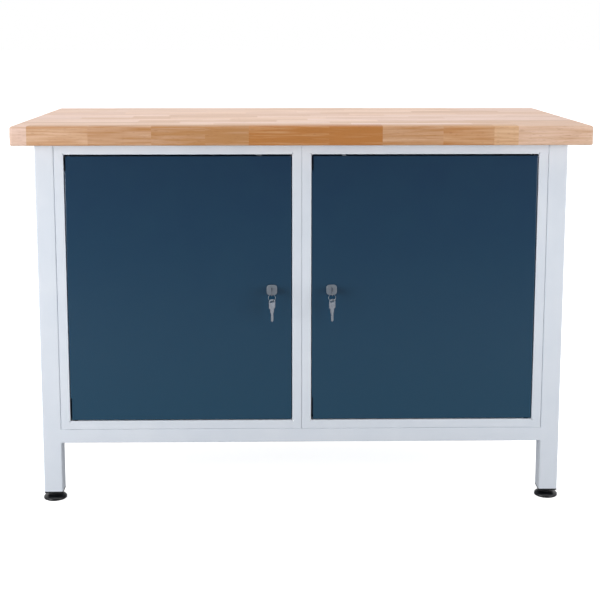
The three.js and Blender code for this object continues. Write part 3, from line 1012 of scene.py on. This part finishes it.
@dataclass
class LevellingFeet:
    """Moulded disc feet on threaded studs, in plugs at the leg ends."""

    disc_radius: float = 25 * MM
    rim: float = 3 * MM
    dome: float = 7 * MM
    neck_radius: float = 8 * MM
    neck: float = 1 * MM
    bevel: float = 1.2 * MM  # at the rim's foot
    ease: float = 0.3 * MM  # the short side of a softened edge
    lip: float = 0.4 * MM  # its long side
    nick: float = 0.2 * MM  # round the neck's foot
    pole: float = 0.2 * MM  # the radius of the small flat in the neck's middle
    disc_sides: int = 64
    dome_steps: int = 12
    disc_angle: float = 50.0
    stud_radius: float = 5 * MM
    stud_top: float = 70 * MM
    thread_pitch: float = 1.5 * MM
    thread_depth: float = 0.7 * MM
    thread_steps: int = 4
    thread_sides: int = 24
    thread_angle: float = 80.0

    def _disc(self, bm: BMesh, middle: Vector) -> None:
        """Add the domed disc with its rim and neck.

        Args:
            bm: the mesh that gets the disc.
            middle: the middle of its underside.
        """
        edge, neck, top = self.disc_radius, self.neck_radius, self.rim + self.dome
        head = top + self.neck
        profile = [(edge - self.bevel, 0.0), (edge - self.ease, self.lip), (edge, self.bevel),
                   (edge, self.rim - self.lip)]
        for i in range(self.dome_steps):
            turn = math.pi / 2 * i / self.dome_steps
            profile.append((neck + (edge - neck) * math.cos(turn),
                            self.rim + (self.dome - self.nick) * math.sin(turn)))
        profile += [(neck + self.nick, top - self.nick), (neck, top), (neck, head - self.ease),
                    (neck - self.lip, head), (self.pole, head)]
        angles = [2 * math.pi * i / self.disc_sides for i in range(self.disc_sides)]
        sweep_rings(bm, [
            [middle + Vector((r * math.cos(a), r * math.sin(a), z)) for a in angles]
            for r, z in profile])

    def _stud(self, bm: BMesh, middle: Vector) -> None:
        """Add the stud with a true helical thread.

        Args:
            bm: the mesh that gets the stud.
            middle: the middle of the disc's underside.
        """
        height = self.stud_top - self.rim
        count = int(height / self.thread_pitch * self.thread_steps)
        rings = []
        for k in range(count + 1):
            z = self.rim + height * k / count
            ring = []
            for i in range(self.thread_sides):
                share = (z / self.thread_pitch - i / self.thread_sides) % 1.0
                radius = self.stud_radius - self.thread_depth * abs(2 * share - 1)
                angle = 2 * math.pi * i / self.thread_sides
                ring.append(middle + Vector((
                    radius * math.cos(angle), radius * math.sin(angle), z)))
            rings.append(ring)
        sweep_rings(bm, rings)

    def dress(self, palette: Palette) -> None:
        """Build the four feet and finish the plugs above them.

        Args:
            palette: the bench's finishes.
        """
        for end in (f"{row}_{side.word}" for row in ROWS for side in Side):
            low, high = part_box(f"foot_{end}")
            middle = Vector(((low.x + high.x) / 2, (low.y + high.y) / 2, low.z))
            bm = bmesh.new()
            self._disc(bm, middle)
            disc = mesh_object(f"foot_disc_{end}", bm, self.disc_angle)
            claim(disc, f"level_foot_{end}", palette.black, [f"foot_{end}"])
            bm = bmesh.new()
            self._stud(bm, middle)
            stud = mesh_object(f"foot_stud_{end}", bm, self.thread_angle)
            claim(stud, f"level_foot_{end}", palette.zinc)
        coat([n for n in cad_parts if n.startswith("insert_")], palette.black)


@dataclass
class Cabinet:
    """A sheet-steel shell with a shelf, riveted together and screwed to the legs."""

    side: Side
    rivets: Fixings
    screws: Fixings
    rivet_rows: int = 6
    rivet_inset: float = 7.5 * MM
    lowest_rivet: float = 45 * MM  # above the shell's foot
    highest_rivet: float = 72 * MM  # below the shell's top
    support_rivets: tuple[float, ...] = (0.12, 0.5, 0.88)  # places along a shelf support
    support_rise: float = 8 * MM
    leg_screws: tuple[float, ...] = (0.2, 0.8)  # places up the outer panel
    leg_screw_inset: float = 10 * MM
    fold: float = 1.2 * MM
    fold_steps: int = 4
    seam: float = 0.3 * MM
    head_weld: tuple[float, float] = (19.5 * MM, 1.3 * MM)  # below the shell's top
    sill_weld: tuple[float, float] = (1.3 * MM, 15.8 * MM)  # above the shell's foot
    smooth_angle: float = 30.0

    def _pair(self, panel: str) -> list[tuple[Vector, Vector, int]]:
        """Measure the outer and the inner one of a pair of panels.

        Args:
            panel: the name that both share.

        Returns:
            Each one's lowest and highest corner and the way out of the cabinet along X.
        """
        word, outward = self.side.word, self.side.value
        return [(*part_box(f"{word}_{panel}_{wall}"), way)
                for wall, way in (("outer", outward), ("inner", -outward))]

    def _rivet_places(self) -> list[Place]:
        """Find the rivets on the rear flanges and the shelf supports.

        Returns:
            Each rivet's place and the way its head faces.
        """
        places: list[Place] = []
        for low, high, outward in self._pair("side_panel"):
            x = (high.x if outward > 0 else low.x) - outward * self.rivet_inset
            bottom, top = low.z + self.lowest_rivet, high.z - self.highest_rivet
            for i in range(self.rivet_rows):
                z = bottom + (top - bottom) * i / (self.rivet_rows - 1)
                places.append(((x, high.y, z), (0.0, 1.0, 0.0)))
        for low, high, outward in self._pair("shelf_support"):
            x = (high.x if outward > 0 else low.x) - outward * SHEET
            for share in self.support_rivets:
                y = low.y + (high.y - low.y) * share
                places.append(((x, y, low.z + self.support_rise), (-float(outward), 0.0, 0.0)))
        return places

    def _screw_places(self) -> list[Place]:
        """Find the screws that hold the shell to the rear leg.

        Returns:
            Each screw's place inside the cabinet and the way its head faces.
        """
        low, high, outward = self._pair("side_panel")[0]
        x = (high.x if outward > 0 else low.x) - outward * SHEET
        y = high.y - self.leg_screw_inset
        return [((x, y, low.z + share * (high.z - low.z)), (-float(outward), 0.0, 0.0))
                for share in self.leg_screws]

    def _corner_welds(self) -> Object:
        """Fill the butt joints at the corners of the front, ground flush.

        Returns:
            One mesh with a closed filling at each corner.
        """
        bm = bmesh.new()
        for low, high, outward in self._pair("side_panel"):
            edge = low.x if outward > 0 else high.x
            section = [(edge - outward * self.seam, low.y),
                       (edge - outward * self.seam, low.y + self.fold)]
            for step in range(self.fold_steps + 1):
                t = 1 - step / self.fold_steps
                section.append((edge + outward * self.fold * (1 - t) ** 2,
                                low.y + self.fold * t ** 2))
            for ends in ([high.z - below for below in self.head_weld],
                         [low.z + above for above in self.sill_weld]):
                sweep_rings(bm, [[Vector((x, y, z)) for x, y in section] for z in ends])
        bmesh.ops.recalc_face_normals(bm, faces=bm.faces[:])
        return mesh_object(f"{self.side.word}_corner_welds", bm, self.smooth_angle)

    def dress(self, palette: Palette) -> None:
        """Coat the shell, fill its corners and add its rivets and screws.

        Args:
            palette: the bench's finishes.
        """
        word = self.side.word
        panels = ("side_panel_outer", "side_panel_inner", "top_panel", "bottom_panel",
                  "back_panel", "shelf", "shelf_support_outer", "shelf_support_inner")
        coat([f"{word}_{panel}" for panel in panels], palette.grey)
        coat([f"{word}_hinge_pin_upper", f"{word}_hinge_pin_lower"], palette.dark_steel)
        claim(self._corner_welds(), BENCH, palette.grey)
        rivets = self.rivets.build(f"{word}_cabinet_rivets", self._rivet_places(), palette.zinc)
        claim(rivets, BENCH)
        screws = self.screws.build(f"{word}_cabinet_screws", self._screw_places(), palette.zinc)
        claim(screws, BENCH)


@dataclass
class Door:
    """A folded steel door with a hat-section stiffener spot-welded inside."""

    side: Side
    marks: Fixings
    mark_pitch: float = 0.085
    mark_margin: float = 15 * MM
    flange: float = 9.5 * MM

    def _mark_places(self) -> list[Place]:
        """Find the spot welds along both flanges of the stiffener.

        Returns:
            Each weld's place on the flange, facing into the cabinet.
        """
        low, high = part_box(f"{self.side.word}_door_stiffener")
        foot, span = low.z + self.mark_margin, high.z - low.z - 2 * self.mark_margin
        count = int(span / self.mark_pitch)
        return [((x, low.y + SHEET, foot + span * i / count), (0.0, 1.0, 0.0))
                for x in (low.x + self.flange, high.x - self.flange) for i in range(count + 1)]

    def dress(self, palette: Palette) -> None:
        """Coat the door and mark its welds.

        Args:
            palette: the bench's finishes.
        """
        word = self.side.word
        coat([f"{word}_door_panel", f"{word}_door_stiffener"], palette.blue)
        marks = self.marks.build(f"{word}_door_spot_welds", self._mark_places(), palette.blue)
        claim(marks, f"{word}_door")


@dataclass
class LockSet:
    """A cam lock with its key, a split ring and a spare key."""

    side: Side
    screws: Fixings
    wire: float = 0.44 * MM
    wire_sides: int = 10
    turn_gap: float = 1.02  # from the ring's middle to each turn, in wire radii
    ring_steps: int = 120
    ring_start: float = 30.0  # degrees
    overlap: float = 40.0  # degrees over which the ring's turns change sides
    smooth_angle: float = 60.0

    def _split_ring(self) -> Object:
        """Build the ring as two turns of wire, side by side.

        Returns:
            The ring, in the place of the plain one.
        """
        low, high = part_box(f"{self.side.word}_key_ring")
        centre = (low + high) / 2
        radius = (high.x - low.x) / 2 - (high.y - low.y) / 2
        along = Vector((0.0, 1.0, 0.0))
        angles = [2 * math.pi * i / self.wire_sides for i in range(self.wire_sides)]
        bm = bmesh.new()
        rings = []
        full = 360.0
        first, last = self.overlap, 2 * full
        for k in range(self.ring_steps + 1):
            turned = first + (last - first) * k / self.ring_steps
            share = min(1.0, max(0.0, (turned - full) / self.overlap))
            aside = (2 * share * share * (3 - 2 * share) - 1) * self.wire * self.turn_gap
            angle = math.radians(turned + self.ring_start)
            out = Vector((math.cos(angle), 0.0, math.sin(angle)))
            middle = centre + out * radius + along * aside
            rings.append([middle + self.wire * (math.cos(a) * out + math.sin(a) * along)
                          for a in angles])
        sweep_rings(bm, rings)
        bmesh.ops.recalc_face_normals(bm, faces=bm.faces[:])
        return mesh_object(f"{self.side.word}_split_ring", bm, self.smooth_angle)

    def dress(self, palette: Palette) -> None:
        """Finish the lock and keys and add the ring and the cam's screw.

        Args:
            palette: the bench's finishes.
        """
        word = self.side.word
        coat([f"{word}_lock_body", f"{word}_lock_plug"], palette.lock_nickel)
        coat([f"{word}_key", f"{word}_spare_key"], palette.key_nickel)
        coat([f"{word}_lock_nut", f"{word}_lock_cam"], palette.zinc)
        claim(self._split_ring(), f"{word}_ring", palette.zinc, [f"{word}_key_ring"])
        low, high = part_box(f"{word}_lock_plug")
        middle = (low + high) / 2
        place = ((middle.x, high.y, middle.z), (0.0, 1.0, 0.0))
        screw = self.screws.build(f"{word}_cam_screw", [place], palette.zinc)
        claim(screw, f"{word}_lock_turning")


@dataclass(frozen=True)
class SoftLight:
    """One large lamp of the studio."""

    name: str
    place: tuple[float, float, float]
    target: tuple[float, float, float]
    size: tuple[float, float]
    watts: float
    mirrored: bool = True  # whether glossy surfaces show it


@dataclass
class Studio:
    """A pale floor, soft light and a camera that stands where the photographer stood."""

    eye: tuple[float, float, float] = (-0.05841, -2.78185, 1.0119)
    turned: float = -0.0166  # radians about Z
    tipped: float = 0.1462  # radians below level
    focal_pixels: float = 1212.25
    shift: tuple[float, float] = (0.0099, -0.15)
    farthest: float = 200.0
    white: str = "#FFFFFF"
    floor_half: float = 60.0
    floor_cells: int = 8
    floor_colour: str = "#F6F6F6"
    floor_bounce: str = "#B2B2B2"
    floor_roughness: float = 0.9
    floor_glow: float = 0.7
    backdrop: float = 1.0
    front_room: float = 0.18
    rear_room: float = 0.95
    room_fade: tuple[float, float] = (-0.7, 0.5)  # from the front to the rear of the room
    lamps: tuple[SoftLight, ...] = (
        SoftLight("key_lamp", (-2.0, -1.75, 0.8), (0.0, -0.25, 0.8), (1.4, 1.0), 38.0),
        SoftLight("fill_lamp", (2.0, -1.75, 0.85), (0.0, -0.25, 0.8), (1.4, 1.0), 28.0),
        SoftLight("top_lamp", (-0.4, -0.2, 3.2), (-0.2, 0.0, 0.8), (3.0, 2.0), 30.0),
        SoftLight("rear_lamp", (0.2, 3.2, 2.4), (0.0, 0.2, 0.45), (2.6, 2.0), 36.0, False),
    )

    def _floor(self) -> None:
        """Lay the floor under the feet."""
        bm = bmesh.new()
        bmesh.ops.create_grid(
            bm, x_segments=self.floor_cells, y_segments=self.floor_cells, size=self.floor_half)
        floor = mesh_object("studio_floor", bm)
        material, shader, _ = new_material(
            "pale_floor", Base_Color=linear(self.floor_colour), Roughness=self.floor_roughness,
            Specular_IOR_Level=0.0, Emission_Color=linear(self.white),
            Emission_Strength=self.floor_glow)
        add = partial(add_node, material.node_tree)
        bounce = add("ShaderNodeBsdfDiffuse", {"Color": linear(self.floor_bounce)})
        seen = add("ShaderNodeLightPath").outputs["Is Camera Ray"]
        mix = add("ShaderNodeMixShader", {0: seen, 1: bounce, 2: shader})
        feed(material.node_tree.nodes["Material Output"], {"Surface": mix})
        floor.data.materials.append(material)

    def _room(self) -> None:
        """Light the scene from a white room that is darker in front of the bench."""
        world = bpy.data.worlds.new("studio_room")
        world.use_nodes = True
        bpy.context.scene.world = world
        world.node_tree.nodes.clear()
        add = partial(add_node, world.node_tree)
        towards = add("ShaderNodeTexCoord").outputs["Generated"]
        depth = add("ShaderNodeSeparateXYZ", {0: towards}).outputs["Y"]
        fade = add(
            "ShaderNodeMapRange",
            {"Value": depth, "From Min": self.room_fade[0], "From Max": self.room_fade[1],
             "To Min": self.front_room, "To Max": self.rear_room},
            interpolation_type="SMOOTHSTEP")
        room, backdrop = (
            add("ShaderNodeBackground", {0: linear(self.white), 1: strength})
            for strength in (fade, self.backdrop))
        seen = add("ShaderNodeLightPath").outputs["Is Camera Ray"]
        mix = add("ShaderNodeMixShader", {0: seen, 1: room, 2: backdrop})
        add("ShaderNodeOutputWorld", {0: mix})

    def _lights(self) -> None:
        """Hang the soft lamps."""
        for lamp in self.lamps:
            data = bpy.data.lights.new(lamp.name, "AREA")
            data.shape = "RECTANGLE"
            data.size, data.size_y = lamp.size
            data.energy = lamp.watts
            light = bpy.data.objects.new(lamp.name, data)
            light.location = lamp.place
            light.visible_glossy = lamp.mirrored
            light.visible_camera = False
            aim = Vector(lamp.target) - Vector(lamp.place)
            light.rotation_euler = aim.to_track_quat("-Z", "Y").to_euler()
            bpy.context.scene.collection.objects.link(light)

    def _camera(self) -> None:
        """Set up the camera at the photograph's viewpoint."""
        data = bpy.data.cameras.new("bench_camera")
        data.sensor_fit = "HORIZONTAL"
        data.sensor_width = SENSOR_WIDTH
        data.lens = self.focal_pixels / PHOTO_PIXELS * SENSOR_WIDTH
        data.shift_x, data.shift_y = self.shift
        data.clip_end = self.farthest
        camera = bpy.data.objects.new("bench_camera", data)
        camera.location = self.eye
        camera.rotation_euler = Euler((math.pi / 2 - self.tipped, 0.0, self.turned))
        bpy.context.scene.collection.objects.link(camera)
        bpy.context.scene.camera = camera

    def build(self) -> None:
        """Build the stage, light and camera."""
        self._floor()
        self._room()
        self._lights()
        self._camera()
        settings = bpy.context.scene.view_settings
        settings.view_transform = "Standard"
        settings.look = "None"
        LOG.info("studio has %d lamps", len(self.lamps))


def main() -> None:
    """Dress every sub-assembly in order."""
    logging.basicConfig(level=logging.INFO, format="%(name)s: %(message)s")
    palette = Palette()
    rivets = Fixings(Head.DOME, diameter=7 * MM, height=1.3 * MM, shank=3 * MM)
    screws = Fixings(Head.HEX, diameter=11 * MM, height=3.6 * MM, shank=6 * MM)
    marks = Fixings(Head.SPOT, diameter=6.5 * MM, height=0.35 * MM)
    Worktop().dress(palette)
    BenchFrame().dress(palette)
    LevellingFeet().dress(palette)
    for side in Side:
        Cabinet(side, rivets, screws).dress(palette)
        Door(side, marks).dress(palette)
        LockSet(side, screws).dress(palette)
    Studio().build()


if __name__ == "__main__":
    main()
